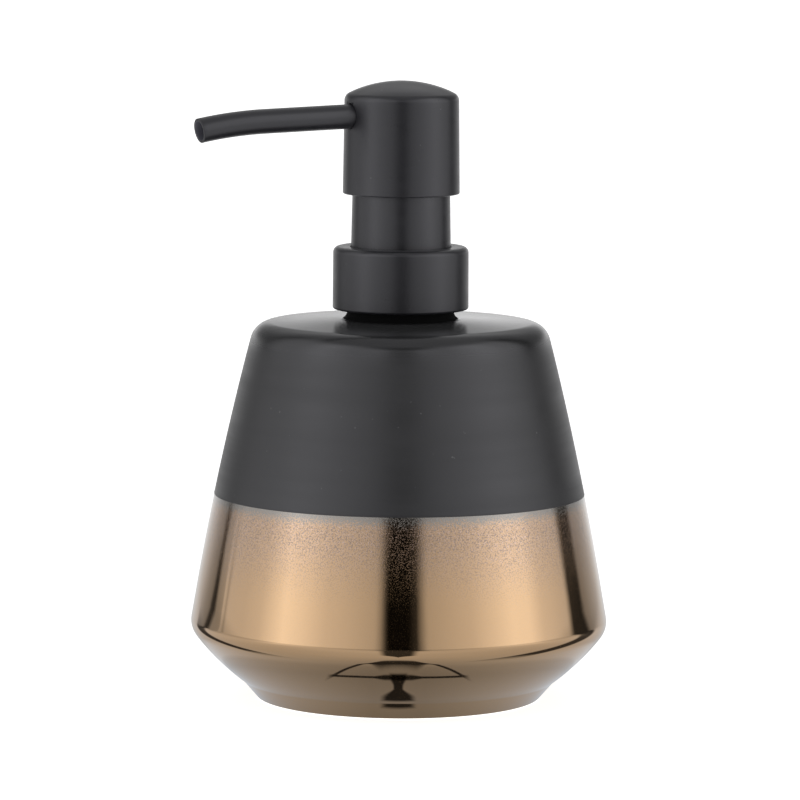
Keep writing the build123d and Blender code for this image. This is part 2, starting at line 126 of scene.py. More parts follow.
# --- Outlines ------------------------------------------------------------------------
def arc(start, middle, end, step=0.5):
    """Points of the circular arc through three points, with both ends."""
    (ax, ay), (bx, by), (cx, cy) = start, middle, end
    d = 2 * (ax * (by - cy) + bx * (cy - ay) + cx * (ay - by))
    a2, b2, c2 = ax * ax + ay * ay, bx * bx + by * by, cx * cx + cy * cy
    ox = (a2 * (by - cy) + b2 * (cy - ay) + c2 * (ay - by)) / d
    oy = (a2 * (cx - bx) + b2 * (ax - cx) + c2 * (bx - ax)) / d
    radius = math.hypot(ax - ox, ay - oy)
    first = math.atan2(ay - oy, ax - ox)
    turn = math.remainder(math.atan2(cy - oy, cx - ox) - first, math.tau)
    count = max(2, math.ceil(abs(turn) * radius / step))
    angles = [first + turn * i / count for i in range(count + 1)]
    return [(ox + radius * math.cos(t), oy + radius * math.sin(t)) for t in angles]


def bowed_wall(bottom, top, bulge=WALL_BULGE, step=1.2):
    """Points of a wall that bows outwards between two corners, with the corners."""
    (r0, z0), (r1, z1) = bottom, top
    chord = math.hypot(r1 - r0, z1 - z0)
    middle = (
        (r0 + r1) / 2 + bulge * (z1 - z0) / chord,
        (z0 + z1) / 2 - bulge * (r1 - r0) / chord,
    )
    return arc(bottom, middle, top, step)


def fillet(before, corner, after, radius, pieces=10):
    """Points of the arc that rounds a corner between two straight runs."""
    here = Vector(corner[:2])
    back = (Vector(before[:2]) - here).normalized()
    ahead = (Vector(after[:2]) - here).normalized()
    half = back.angle(ahead) / 2
    reach = radius / math.tan(half)
    centre = here + (back + ahead).normalized() * (radius / math.sin(half))
    start, end = here + back * reach - centre, here + ahead * reach - centre
    turn = start.angle_signed(end)
    points = []
    for i in range(pieces + 1):
        t = -turn * i / pieces
        spoke = Vector((
            start.x * math.cos(t) - start.y * math.sin(t),
            start.x * math.sin(t) + start.y * math.cos(t),
        ))
        points.append(tuple(centre + spoke))
    return points


def rounded_outline(points, closed=False):
    """Outline from (radius, height) or (radius, height, rounding) points."""
    made = []
    count = len(points)
    for i, point in enumerate(points):
        at_end = not closed and i in (0, count - 1)
        if len(point) < 3 or at_end:
            made.append(tuple(point[:2]))
            continue
        made += fillet(points[i - 1], point, points[(i + 1) % count], point[2])
    return made


def subdivided(points, step):
    """Outline with no run longer than a step."""
    made = [points[0]]
    for (r0, z0), (r1, z1) in zip(points, points[1:]):
        count = max(1, math.ceil(math.hypot(r1 - r0, z1 - z0) / step))
        for i in range(1, count + 1):
            made.append((r0 + (r1 - r0) * i / count, z0 + (z1 - z0) * i / count))
    return made


# --- Meshes --------------------------------------------------------------------------
def new_object(name, vertices, faces):
    """Mesh object from points in millimetres, shaded smooth with crisp edges kept."""
    mesh = bpy.data.meshes.new(name)
    mesh.from_pydata([tuple(c * MM for c in v) for v in vertices], [], faces)
    work = bmesh.new()
    work.from_mesh(mesh)
    bmesh.ops.recalc_face_normals(work, faces=work.faces)
    work.to_mesh(mesh)
    work.free()
    mesh.shade_smooth()
    mesh.set_sharp_from_angle(angle=math.radians(32))
    thing = bpy.data.objects.new(name, mesh)
    bpy.context.scene.collection.objects.link(thing)
    return thing


def lathe(name, outline, closed=False, segments=192, shape=None):
    """Turns a (radius, height) outline about Z. shape(r, z, angle) may alter the radius."""
    shape = shape or (lambda r, z, angle: r)
    rings, vertices = [], []
    for r, z in outline:
        if r < 1e-6:
            rings.append([len(vertices)])
            vertices.append((0.0, 0.0, z))
            continue
        ring = []
        for k in range(segments):
            angle = math.tau * k / segments
            radius = shape(r, z, angle)
            ring.append(len(vertices))
            vertices.append((radius * math.cos(angle), radius * math.sin(angle), z))
        rings.append(ring)
    faces = []
    pairs = list(zip(rings, rings[1:])) + ([(rings[-1], rings[0])] if closed else [])
    for low, high in pairs:
        for k in range(segments):
            n = (k + 1) % segments
            if len(low) == 1:
                faces.append((low[0], high[n], high[k]))
            elif len(high) == 1:
                faces.append((low[k], low[n], high[0]))
            else:
                faces.append((low[k], low[n], high[n], high[k]))
    return new_object(name, vertices, faces)


def ring_points(centre, direction, radius, sides):
    """Points of a circle square to a direction in the XZ plane."""
    across = Vector((0, 1, 0))
    up = direction.cross(across).normalized()
    turns = [math.tau * k / sides for k in range(sides)]
    return [tuple(centre + radius * (math.cos(t) * across + math.sin(t) * up)) for t in turns]


def swept_rings(name, rings, sides=64):
    """Closed skin over rings, each given as (centre, direction, radius)."""
    vertices, faces = [], []
    for centre, direction, radius in rings:
        vertices += ring_points(centre, direction, radius, sides)
    count = len(rings)
    for i in range(count):
        j = (i + 1) % count
        for k in range(sides):
            n = (k + 1) % sides
            faces.append((i * sides + k, i * sides + n, j * sides + n, j * sides + k))
    return new_object(name, vertices, faces)


# --- Node helpers --------------------------------------------------------------------
class NodeTree:
    """Short calls for the nodes that the finishes and the studio are made of."""

    def __init__(self, tree):
        self.tree = tree

    def new(self, kind):
        return self.tree.nodes.new(kind)

    def link(self, source, target):
        self.tree.links.new(source, target)

    def along(self, direction):
        """How far the place lies along a direction."""
        node = self.new("ShaderNodeVectorMath")
        node.operation = "DOT_PRODUCT"
        self.link(self.place, node.inputs[0])
        node.inputs[1].default_value = direction
        return node.outputs["Value"]

    def noise(self, scale, detail=3.0, roughness=0.5, stretch=None):
        """Noise with cells 1/scale metres across. stretch scales X, Y and Z apart."""
        node = self.new("ShaderNodeTexNoise")
        node.inputs["Scale"].default_value = scale
        node.inputs["Detail"].default_value = detail
        node.inputs["Roughness"].default_value = roughness
        place = self.place
        if stretch:
            mapping = self.new("ShaderNodeMapping")
            mapping.inputs["Scale"].default_value = stretch
            self.link(place, mapping.inputs["Vector"])
            place = mapping.outputs["Vector"]
        self.link(place, node.inputs["Vector"])
        return node.outputs["Fac"]

    def remap(self, value, low, high, to_low, to_high, smooth=False):
        """The value moved from one range to another, and held at its ends."""
        node = self.new("ShaderNodeMapRange")
        node.interpolation_type = "SMOOTHSTEP" if smooth else "LINEAR"
        self.link(value, node.inputs["Value"])
        limits = {"From Min": low, "From Max": high, "To Min": to_low, "To Max": to_high}
        for socket, number in limits.items():
            node.inputs[socket].default_value = number
        return node.outputs["Result"]

    def math(self, operation, *values):
        """One step of arithmetic. Each value is a number or another node's output."""
        node = self.new("ShaderNodeMath")
        node.operation = operation
        for socket, value in zip(node.inputs, values):
            if isinstance(value, (int, float)):
                socket.default_value = value
            else:
                self.link(value, socket)
        return node.outputs[0]

    def mix(self, factor, a, b):
        """Colour a where the factor is 0 and b where it is 1."""
        node = self.new("ShaderNodeMix")
        node.data_type = "RGBA"
        self.link(factor, node.inputs["Factor"])
        for socket, value in zip((node.inputs[6], node.inputs[7]), (a, b)):
            if isinstance(value, tuple):
                socket.default_value = (*value, 1)
            else:
                self.link(value, socket)
        return node.outputs[2]

    def multiply(self, a, b):
        """Product of two colours, of which b may be a constant."""
        node = self.new("ShaderNodeVectorMath")
        node.operation = "MULTIPLY"
        self.link(a, node.inputs[0])
        if isinstance(b, tuple):
            node.inputs[1].default_value = b
        else:
            self.link(b, node.inputs[1])
        return node.outputs["Vector"]

    def bump(self, height, distance, strength=1.0, before=None):
        """Normal of a height pattern, on top of the one before it."""
        node = self.new("ShaderNodeBump")
        node.inputs["Distance"].default_value = distance
        node.inputs["Strength"].default_value = strength
        self.link(height, node.inputs["Height"])
        if before:
            self.link(before, node.inputs["Normal"])
        return node.outputs["Normal"]


class Surface(NodeTree):
    """A node material. Places are metres in the CAD frame."""

    def __init__(self, name, colour, roughness, metallic=0.0):
        self.material = bpy.data.materials.new(name)
        self.material.use_nodes = True
        super().__init__(self.material.node_tree)
        self.shader = self.tree.nodes["Principled BSDF"]
        self.shader.inputs["Base Color"].default_value = (*colour, 1)
        self.shader.inputs["Roughness"].default_value = roughness
        self.shader.inputs["Metallic"].default_value = metallic
        self.place = self.new("ShaderNodeTexCoord").outputs["Object"]

    def colour(self, source):
        self.link(source, self.shader.inputs["Base Color"])

    def roughness(self, source):
        self.link(source, self.shader.inputs["Roughness"])

    def normal(self, source):
        self.link(source, self.shader.inputs["Normal"])


# --- Finishes ------------------------------------------------------------------------
BLACK_SPECULAR = (0.95, 0.945, 1.0, 1.0)
DUST = (0.07, 0.07, 0.07)


def soft_rim(made):
    """Faint bloom where a matt black surface turns away."""
    made.shader.inputs["Sheen Weight"].default_value = 0.05
    made.shader.inputs["Sheen Roughness"].default_value = 0.35
    made.shader.inputs["Sheen Tint"].default_value = (0.95, 0.97, 1.0, 1.0)


def satin_plastic(name, shade, roughness):
    """Black moulded plastic: fine spark texture, faint flow marks and a few dust specks."""
    made = Surface(name, (shade,) * 3, roughness)
    flow = made.noise(140, 2, stretch=(1, 1, 3))
    grain = made.noise(5200, 2)
    specks = made.remap(made.noise(1100, 1), 0.785, 0.81, 0, 1)
    darker = (shade * 0.86, shade * 0.86, shade * 1.05)
    lighter = (shade * 1.1, shade * 1.1, shade * 1.35)
    made.colour(made.mix(specks, made.mix(flow, darker, lighter), DUST))
    uneven = made.math("ADD", flow, grain)
    made.roughness(made.remap(uneven, 0.6, 1.4, roughness - 0.05, roughness + 0.05))
    made.normal(made.bump(grain, 0.000006, 0.6, made.bump(flow, 0.00008, 0.25)))
    made.shader.inputs["IOR"].default_value = 1.76
    made.shader.inputs["Specular Tint"].default_value = BLACK_SPECULAR
    soft_rim(made)
    return made.material


def black_coat():
    """Matt black sprayed coat over ceramic, with faint wiping streaks round the body."""
    shade = 0.011
    made = Surface("matt_black_coat", (shade,) * 3, 0.38)
    streaks = made.noise(26, 4, 0.6, stretch=(0.35, 0.35, 9))
    grain = made.noise(4200, 2)
    cloud = made.noise(55, 3)
    specks = made.remap(made.noise(1000, 1), 0.79, 0.81, 0, 1)
    base = made.mix(cloud, (shade * 0.9,) * 3, (shade * 1.1, shade * 1.1, shade * 1.14))
    made.colour(made.mix(specks, base, DUST))
    shoulder = made.remap(made.along((0, 0, 1)), 0.083, 0.090, 0, 0.16, smooth=True)
    made.roughness(made.math("SUBTRACT", made.remap(streaks, 0.3, 0.7, 0.34, 0.43), shoulder))
    made.normal(made.bump(grain, 0.000006, 0.6, made.bump(streaks, 0.0002, 0.2)))
    made.shader.inputs["IOR"].default_value = 1.74
    made.shader.inputs["Specular Tint"].default_value = BLACK_SPECULAR
    soft_rim(made)
    return made.material


def bronze_glaze():
    """Metallic bronze glaze: mirror-like low down, grainy and hazy under the black coat."""
    made = Surface("bronze_glaze", (0.66, 0.45, 0.27), 0.08, metallic=1.0)
    edge = COAT_Z * MM
    height = made.along((0, 0, 1))

    # The grain fades in towards the coat, and a grey haze lies along the coat's edge.
    cloud = made.noise(38, 4)
    wander = made.math("MULTIPLY", made.noise(70, 4), 0.006)
    level = made.math("ADD", height, wander)
    fade = made.remap(level, edge - 0.020, edge + 0.003, 0, 1, smooth=True)
    fine = made.noise(3300, 1, 0.5)
    drift = made.math("MULTIPLY", made.noise(220, 3), 0.0014)
    scatter = made.math("MULTIPLY", made.math("SUBTRACT", fine, 0.5), 0.0050)
    haze = made.remap(made.math("ADD", height, made.math("ADD", drift, scatter)),
                      edge - 0.0022, edge + 0.0002, 0, 1, smooth=True)
    other = made.noise(3900, 1, 0.5, stretch=(1.0, 1.1, 0.9))

    tone = made.mix(cloud, (0.62, 0.380, 0.180), (0.68, 0.424, 0.210))
    tone = made.mix(made.math("MULTIPLY", fade, 0.45), tone, (0.48, 0.330, 0.235))
    strength = made.remap(fade, 0, 0.9, 0.03, 0.86)
    dark = made.math("MULTIPLY", made.remap(fine, 0.50, 0.60, 0, 1), strength)
    tone = made.mix(dark, tone, (0.23, 0.16, 0.125))
    made.link(made.remap(dark, 0, 1, 1, 0.58), made.shader.inputs["Metallic"])
    rose = made.math("MULTIPLY", made.remap(other, 0.54, 0.66, 0, 0.75), fade)
    tone = made.mix(rose, tone, (0.74, 0.52, 0.44))
    made.colour(made.mix(haze, tone, (0.31, 0.285, 0.26)))

    grains = made.math("MULTIPLY", made.remap(other, 0.46, 0.64, 0.01, 0.10), fade)
    rough = made.math("ADD", 0.045, grains)
    made.roughness(made.math("ADD", rough, made.math("MULTIPLY", haze, 0.10)))
    skin = made.math("MULTIPLY", made.math("ADD", fine, other), made.remap(fade, 0, 1, 0.03, 0.6))
    ripple = made.bump(made.noise(90, 2), 0.00012, 0.2)
    made.normal(made.bump(skin, 0.00002, 0.8, ripple))
    made.shader.inputs["Coat Weight"].default_value = 1.0
    made.shader.inputs["Coat Roughness"].default_value = 0.04
    made.shader.inputs["Coat IOR"].default_value = 1.8
    return made.material


def neck_painted_shade():
    """Dull black on the neck, where the screw cap hides it, painted darker than the coat as painted
    shade.
    """
    made = Surface("neck_painted_shade", (0.006, 0.006, 0.006), 0.8)
    grain = made.noise(2600, 3)
    made.colour(made.mix(grain, (0.004, 0.004, 0.004), (0.008, 0.008, 0.008)))
    made.roughness(made.remap(grain, 0.3, 0.7, 0.7, 0.9))
    made.normal(made.bump(grain, 0.00002, 0.5))
    made.shader.inputs["Specular IOR Level"].default_value = 0.1
    return made.material


def bare_ceramic():
    """Unglazed off-white body that shows under the foot, on the rim and inside."""
    made = Surface("bare_ceramic", (0.72, 0.66, 0.58), 0.75)
    grain = made.noise(2400, 4)
    cloud = made.noise(120, 3)
    made.colour(made.mix(cloud, (0.66, 0.60, 0.52), (0.76, 0.71, 0.64)))
    made.roughness(made.remap(grain, 0.3, 0.7, 0.62, 0.82))
    made.normal(made.bump(grain, 0.00004, 0.6))
    return made.material


def pale_plastic(name, colour, roughness):
    """Natural moulded plastic of the pump's inner parts."""
    made = Surface(name, colour, roughness)
    flow = made.noise(160, 3)
    grain = made.noise(3800, 2)
    darker = tuple(c * 0.93 for c in colour)
    made.colour(made.mix(flow, darker, colour))
    made.roughness(made.remap(flow, 0.3, 0.7, roughness - 0.06, roughness + 0.06))
    made.normal(made.bump(grain, 0.000008, 0.5))
    made.shader.inputs["Subsurface Weight"].default_value = 0.15
    made.shader.inputs["Subsurface Scale"].default_value = 0.001
    return made.material


def soft_rubber(name, shade, pores):
    """Dark elastomer or foam. pores is the number of cells to the metre."""
    made = Surface(name, (shade,) * 3, 0.8)
    cells = made.noise(pores, 3, 0.7)
    made.colour(made.mix(cells, (shade * 0.6,) * 3, (shade * 1.4,) * 3))
    made.roughness(made.remap(cells, 0.3, 0.7, 0.7, 0.92))
    made.normal(made.bump(cells, 0.0001, 0.7))
    return made.material


def drawn_steel():
    """Bright stainless wire and balls with fine drawing marks."""
    made = Surface("drawn_steel", (0.62, 0.62, 0.63), 0.25, metallic=1.0)
    marks = made.noise(2200, 3, stretch=(1, 1, 0.2))
    made.colour(made.mix(marks, (0.55, 0.55, 0.56), (0.68, 0.68, 0.69)))
    made.roughness(made.remap(marks, 0.3, 0.7, 0.18, 0.34))
    made.normal(made.bump(marks, 0.000006, 0.5))
    return made.material


# --- Bottle --------------------------------------------------------------------------
def thread_height(z, angle):
    """How far the screw thread stands out of the neck at a height and an angle."""
    best = 0.0
    for turn in (0, 1):
        along = angle / math.tau + turn
        if along > THREAD_TURNS:
            continue
        off = abs(z - THREAD_Z - THREAD_PITCH * along)
        ridge = min(1.0, max(0.0, (THREAD_HALF - off) / THREAD_FLANK))
        runout = min(1.0, along / THREAD_RUNOUT, (THREAD_TURNS - along) / THREAD_RUNOUT)
        best = max(best, ridge * max(0.0, runout))
    return THREAD_HEIGHT * best


def bottle_shape(r, z, angle):
    """Hand-finished roundness: the body wanders by a few hundredths of a millimetre."""
    if NECK_R - 0.01 < r < NECK_R + 0.01 and z > THREAD_Z - 1.3:
        return r + thread_height(z, angle)
    if r < PAD_R + 1.2 or z < 1.0:
        return r
    swing = math.sin(3 * angle + 0.05 * z) + 0.6 * math.sin(5 * angle - 0.09 * z + 1.0)
    return r - 0.02 * (1.6 + swing)


def bottle_outline():
    """From the middle of the inner floor, up inside, over the rim and down to the recess."""
    inside = rounded_outline([
        (0, INNER_FLOOR[1]),
        (*INNER_FLOOR, 3.0),
        (*INNER_BELLY, 4.0),
        bowed_wall(INNER_BELLY, INNER_SHOULDER)[4],
    ])
    inner_wall = bowed_wall(INNER_BELLY, INNER_SHOULDER)[5:-5]
    inner_top = rounded_outline([
        inner_wall[-1],
        (*INNER_SHOULDER, 3.0),
        (NECK_BORE_R, NECK_BORE_Z, 2.0),
        (NECK_BORE_R, RIM_Z, 0.5),
        (NECK_R, RIM_Z, 0.5),
        (NECK_R, RIM_Z - 1.5),
    ])
    neck = subdivided([(NECK_R, RIM_Z - 1.5), (NECK_R, NECK_BAND_Z)], 0.16)
    outer_wall = bowed_wall(BELLY, SHOULDER)[::-1]
    chamfer = bowed_wall(KINK, BELLY, CHAMFER_BULGE)[::-1]
    top = rounded_outline([
        neck[-1],
        (NECK_BASE[0], NECK_BAND_Z - 0.3),
        (*NECK_BASE, NECK_BASE_ROUND),
        (*SHOULDER, SHOULDER_ROUND),
        outer_wall[6],
    ])
    wall = coat_edge(outer_wall[6:-6])
    belly = rounded_outline([outer_wall[-7], (*BELLY, BELLY_ROUND), chamfer[3]])
    bottom = rounded_outline([
        chamfer[-2],
        (*KINK, KINK_ROUND),
        (FOOT_R, FOOT_Z, FOOT_ROUND),
        (FOOT_RING_R, FOOT_Z, 0.6),
        (FOOT_RING_R, PAD_TOP_Z),
        (0, PAD_TOP_Z),
    ])
    outside = top[1:-1] + wall + belly[1:-1] + chamfer[3:-1] + bottom[1:]
    return inside[:-1] + inner_wall + inner_top[1:] + neck[1:] + outside


def coat_edge(wall):
    """Puts a small step where the black coat ends, on a wall that runs downwards."""
    above = [p for p in wall if p[1] > COAT_Z + 0.6]
    below = [p for p in wall if p[1] < COAT_Z - 0.6]
    (r0, z0), (r1, z1) = above[-1], below[0]
    share = (z0 - COAT_Z) / (z0 - z1)
    edge_r = r0 + (r1 - r0) * share
    step = [
        (edge_r, COAT_Z + 0.12),
        (edge_r - COAT_STEP * 0.3, COAT_Z + 0.03),
        (edge_r - COAT_STEP, COAT_Z),
    ]
    return above + step + [(r - COAT_STEP, z) for r, z in below]


def make_bottle():
    bottle = lathe("bottle_body", bottle_outline(), segments=288, shape=bottle_shape)
    finishes = [bronze_glaze(), black_coat(), bare_ceramic(), neck_painted_shade()]
    for finish in finishes:
        bottle.data.materials.append(finish)
    for face in bottle.data.polygons:
        face.material_index = bottle_finish(face.center / MM)
    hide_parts("bottle")
    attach(bottle, "bottle")


def bottle_finish(place):
    """Which finish a face has: 0 glaze, 1 black coat, 2 bare ceramic, 3 neck painted in shade."""
    radius = math.hypot(place.x, place.y)
    under = place.z < FOOT_Z + 0.02 or (radius < PAD_R + 1.0 and place.z < 3)
    below_neck = HOLLOW_Z[0] < place.z < HOLLOW_Z[1]
    inside = radius < NECK_BORE_R + 0.3 or (below_neck and radius < wall_middle(place.z))
    if under or inside:
        return 2
    if place.z > NECK_SHADE_Z:
        return 3
    return 1 if place.z > COAT_Z - 0.001 else 0


def wall_middle(z):
    """Radius half way through the bottle's wall at a height."""
    share = (z - BELLY[1]) / (SHOULDER[1] - BELLY[1])
    outer = BELLY[0] + (SHOULDER[0] - BELLY[0]) * share
    if z < BELLY[1]:
        outer = KINK[0] + (BELLY[0] - KINK[0]) * (z - KINK[1]) / (BELLY[1] - KINK[1])
    return outer - HALF_WALL


def make_base_pad():
    outline = rounded_outline([(0, 0), (PAD_R, 0, 0.25), (PAD_R, PAD_TOP_Z), (0, PAD_TOP_Z)])
    pad = lathe("foam_pad", outline)
    pad.data.materials.append(soft_rubber("foam", 0.09, 1800))
    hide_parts("base_pad")
    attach(pad, "bottle")


# --- Collar, sleeve, head and spout --------------------------------------------------
def make_collar(finish):
    outline = rounded_outline([
        (COLLAR_BORE_R, COLLAR_BOTTOM_Z, 0.3),
        (COLLAR_BOTTOM_R, COLLAR_BOTTOM_Z, 0.6),
        (COLLAR_TOP_R, COLLAR_TOP_Z, 1.4),
        (COLLAR_HOLE_R, COLLAR_TOP_Z, 0.25),
        (COLLAR_HOLE_R, CAP_TOP_Z),
        (COLLAR_BORE_R, CAP_TOP_Z),
    ], closed=True)
    collar = lathe("collar_cover", outline, closed=True)
    collar.data.materials.append(finish)
    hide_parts("collar_shell")
    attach(collar, "collar")


def make_sleeve(finish):
    outline = rounded_outline([
        (SLEEVE_SEAT_R, SLEEVE_BOTTOM_Z),
        (SLEEVE_BOTTOM_R, SLEEVE_BOTTOM_Z),
        (SLEEVE_TOP_R, SLEEVE_TOP_Z, 0.35),
        (SLEEVE_BORE_R, SLEEVE_TOP_Z, 0.2),
        (SLEEVE_BORE_R, BARREL_TOP_Z),
        (SLEEVE_SEAT_R, BARREL_TOP_Z),
    ], closed=True)
    sleeve = lathe("sliding_sleeve", outline, closed=True)
    sleeve.data.materials.append(finish)
    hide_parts("guide_sleeve")
    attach(sleeve, "pump")


def spout_point(reach):
    """Centre and direction of the spout's axis at a distance out along its length."""
    straight = (SPOUT_BEND_START - SPOUT_START) / math.cos(SPOUT_DROOP)
    start_z = SPOUT_AXIS_Z + math.tan(SPOUT_DROOP) * (HEAD_CORNER[0] - SPOUT_START)
    along = min(reach, straight)
    turn = max(0.0, reach - straight) / SPOUT_BEND_R
    slope = SPOUT_DROOP + turn
    x = SPOUT_START + along * math.cos(SPOUT_DROOP)
    z = start_z - along * math.sin(SPOUT_DROOP)
    x += SPOUT_BEND_R * (math.sin(slope) - math.sin(SPOUT_DROOP))
    z -= SPOUT_BEND_R * (math.cos(SPOUT_DROOP) - math.cos(slope))
    return Vector((-x, 0, z)), Vector((-math.cos(slope), 0, -math.sin(slope)))


def spout_length():
    straight = (SPOUT_BEND_START - SPOUT_START) / math.cos(SPOUT_DROOP)
    return straight + SPOUT_BEND_R * SPOUT_BEND_ANGLE


def make_spout():
    steps = 60
    length = spout_length()
    along = [spout_point((length - SPOUT_LIP) * i / steps) for i in range(steps + 1)]
    tip, heading = spout_point(length)
    lip = []
    for degrees in (30, 60, 90):
        turn = math.radians(degrees)
        inset = SPOUT_LIP * (1 - math.cos(turn))
        lip.append((tip - heading * SPOUT_LIP * (1 - math.sin(turn)), inset))
    rings = [(*place, SPOUT_R) for place in along]
    rings += [(centre, heading, SPOUT_R - inset) for centre, inset in lip]
    rings += [(centre, heading, SPOUT_BORE_R + inset) for centre, inset in reversed(lip)]
    rings += [(*place, SPOUT_BORE_R) for place in reversed(along)]
    spout = swept_rings("spout_tube", rings)
    spout.data.materials.append(satin_plastic("spout_coat", 0.010, 0.34))
    # The bore and mouth are the spout's own black plastic, painted a lighter grey: painted light
    # inside the spout.
    spout.data.materials.append(satin_plastic("spout_bore_painted_light", 0.09, 0.6))
    sides = len(spout.data.polygons) // len(rings)
    for face in spout.data.polygons[(len(along) + len(lip) + 1) * sides:]:
        face.material_index = 1
    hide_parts("spout")
    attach(spout, "head")


def make_seal():
    """Soft ring round the spout, just inside the head."""
    start_z = SPOUT_AXIS_Z + math.tan(SPOUT_DROOP) * (HEAD_CORNER[0] - SEAL_REACH)
    centre = Vector((-SEAL_REACH, 0, start_z))
    heading = Vector((-math.cos(SPOUT_DROOP), 0, -math.sin(SPOUT_DROOP)))
    rings = []
    count = 24
    for i in range(count):
        t = math.tau * i / count
        radius = SEAL_R - SEAL_WIRE_R * math.cos(t)
        rings.append((centre + heading * SEAL_WIRE_R * math.sin(t), heading, radius))
    seal = swept_rings("spout_ring", rings)
    seal.data.materials.append(soft_rubber("seal_rubber", 0.03, 4000))
    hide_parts("spout_seal")
    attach(seal, "head")


def dome_point(radius, r):
    """Point of a ball of a radius about the dome's centre, at a distance r from the axis."""
    centre_z = HEAD_TOP_Z - DOME_R
    return (r, centre_z + math.sqrt(radius * radius - r * r))


def make_head(finish):
    corner_r, corner_z = HEAD_CORNER
    inner = DOME_R - HEAD_CEILING
    crown = [dome_point(DOME_R, corner_r * i / 24) for i in range(20, -1, -1)]
    ceiling = [dome_point(inner, HEAD_STEP_R * i / 10) for i in range(10)]
    sides = rounded_outline([
        ceiling[-1],
        dome_point(inner, HEAD_STEP_R),
        (HEAD_STEP_R, HEAD_STEP_Z),
        (HEAD_BORE_R, HEAD_STEP_Z),
        (HEAD_BORE_R, HEAD_BOTTOM_Z, 0.3),
        (HEAD_BOTTOM_R, HEAD_BOTTOM_Z, 0.4),
        (corner_r, corner_z, HEAD_CORNER_ROUND),
        crown[0],
    ])
    walls = []
    for p, q in zip(sides, sides[1:]):
        walls += subdivided([p, q], 1.2)[:-1]
    head = lathe("push_head", ceiling[:-1] + walls + crown, segments=256)
    cut_spout_hole(head)
    restore_side_normals(head)
    head.data.materials.append(finish)
    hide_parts("head_shell")
    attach(head, "head")


def cut_spout_hole(head):
    """Bores the hole that the spout comes out of."""
    near, heading = spout_point(0)
    sides = 96
    vertices = []
    for reach in DRILL_REACH:
        vertices += ring_points(near + heading * reach, heading, SPOUT_HOLE_R, sides)
    faces = [(k, (k + 1) % sides, sides + (k + 1) % sides, sides + k) for k in range(sides)]
    faces += [tuple(range(sides)), tuple(range(2 * sides - 1, sides - 1, -1))]
    drill = new_object("drill", vertices, faces)
    cut = head.modifiers.new("hole", "BOOLEAN")
    cut.operation = "DIFFERENCE"
    cut.solver = "EXACT"
    cut.object = drill
    bpy.context.view_layer.update()
    ready = head.evaluated_get(bpy.context.evaluated_depsgraph_get())
    mesh = bpy.data.meshes.new_from_object(ready)
    head.modifiers.clear()
    head.data = mesh
    bpy.data.objects.remove(drill)


def restore_side_normals(head):
    """The bore leaves uneven faces round it, so the smooth outer skin gets its true normals."""
    mesh = head.data
    normals = [Vector((0, 0, 0))] * len(mesh.loops)
    draft = (HEAD_BOTTOM_R - HEAD_CORNER[0]) / (HEAD_CORNER[1] - HEAD_BOTTOM_Z)
    for face in mesh.polygons:
        centre = face.center / MM
        radius = math.hypot(centre.x, centre.y)
        radial = Vector((centre.x, centre.y, 0)).normalized()
        outward = radius > SKIN_MIN_R and face.normal.dot(radial) > 0.98
        if not outward or not HEAD_BOTTOM_Z + 0.5 < centre.z < SKIN_TOP_Z:
            continue
        for i in face.loop_indices:
            at = mesh.vertices[mesh.loops[i].vertex_index].co
            normals[i] = Vector((at.x, at.y, 0)).normalized() + Vector((0, 0, draft))
    mesh.normals_split_custom_set([tuple(n) for n in normals])


# --- Studio --------------------------------------------------------------------------
def camera_direction():
    """Unit vector from the target towards the camera."""
    a, e = CAMERA_AZIMUTH, CAMERA_ELEVATION
    return Vector((math.sin(a) * math.cos(e), -math.cos(a) * math.cos(e), math.sin(e)))


def camera_axes():
    """Level unit vectors from the object towards the camera and to the camera's right."""
    a = CAMERA_AZIMUTH
    return (math.sin(a), -math.cos(a), 0), (math.cos(a), math.sin(a), 0)


def make_camera():
    data = bpy.data.cameras.new("camera")
    data.sensor_width = 36
    data.lens = CAMERA_LENS
    data.clip_start, data.clip_end = 0.05, 60
    camera = bpy.data.objects.new("camera", data)
    bpy.context.scene.collection.objects.link(camera)
    back = camera_direction()
    camera.location = Vector((0, 0, CAMERA_TARGET_Z)) + back * CAMERA_DISTANCE
    camera.rotation_mode = "QUATERNION"
    level = (-back).to_track_quat("-Z", "Y")
    camera.rotation_quaternion = level @ Quaternion((0, 0, 1), CAMERA_ROLL)
    bpy.context.scene.camera = camera


# This studio isn't plain. Its light levels were tuned until the render came near the
# photograph. The directions of its dark bands and the places of the table's painted lines
# and marks come from following reflections in the photograph back off the bottle's
# outline.
# All are fixed in the CAD frame, so other views show them in other places.
#
# Brightness of the studio round the object: degrees to the right of the camera, light.
STUDIO = [
    (-180, 1.45), (-145, 0.70), (-136, 0.42), (-131, 0.32), (-129, 0.05), (-126, 0.05),
    (-124, 0.40), (-118, 0.44), (-116.8, 0.70), (-115.6, 0.66), (-114.2, 0.42), (-112, 0.68),
    (-97, 0.72), (-84, 0.84), (-67, 1.32), (-55, 1.14), (-41, 0.86), (-13, 0.58),
    (-5.5, 0.030), (10.0, 0.035), (16.0, 0.56), (41, 0.80), (67, 1.28), (78, 1.25),
    (88, 0.92), (109, 0.66), (113.5, 0.04), (124.5, 0.03), (128, 0.32), (143, 0.60),
    (160, 1.12), (180, 1.45),
]
# Painted shade of the table, seen only in reflections and darker close to the bottle: metres
# from the object's axis, light.
PAINTED_TABLE_SHADE = [
    (0.034, 0.31), (0.037, 0.35), (0.041, 0.33), (0.046, 0.29), (0.0500, 0.33),
    (0.0515, 0.40), (0.060, 0.46), (0.075, 0.52), (0.128, 0.60), (0.300, 0.68),
]
BRIGHTEST = 1.5
CEILING = 0.40              # brightness overhead
UNDER_BOXES = 0.72          # share of the boxes' light that the table and the horizon show
FLOOR_GLOW = 0.75
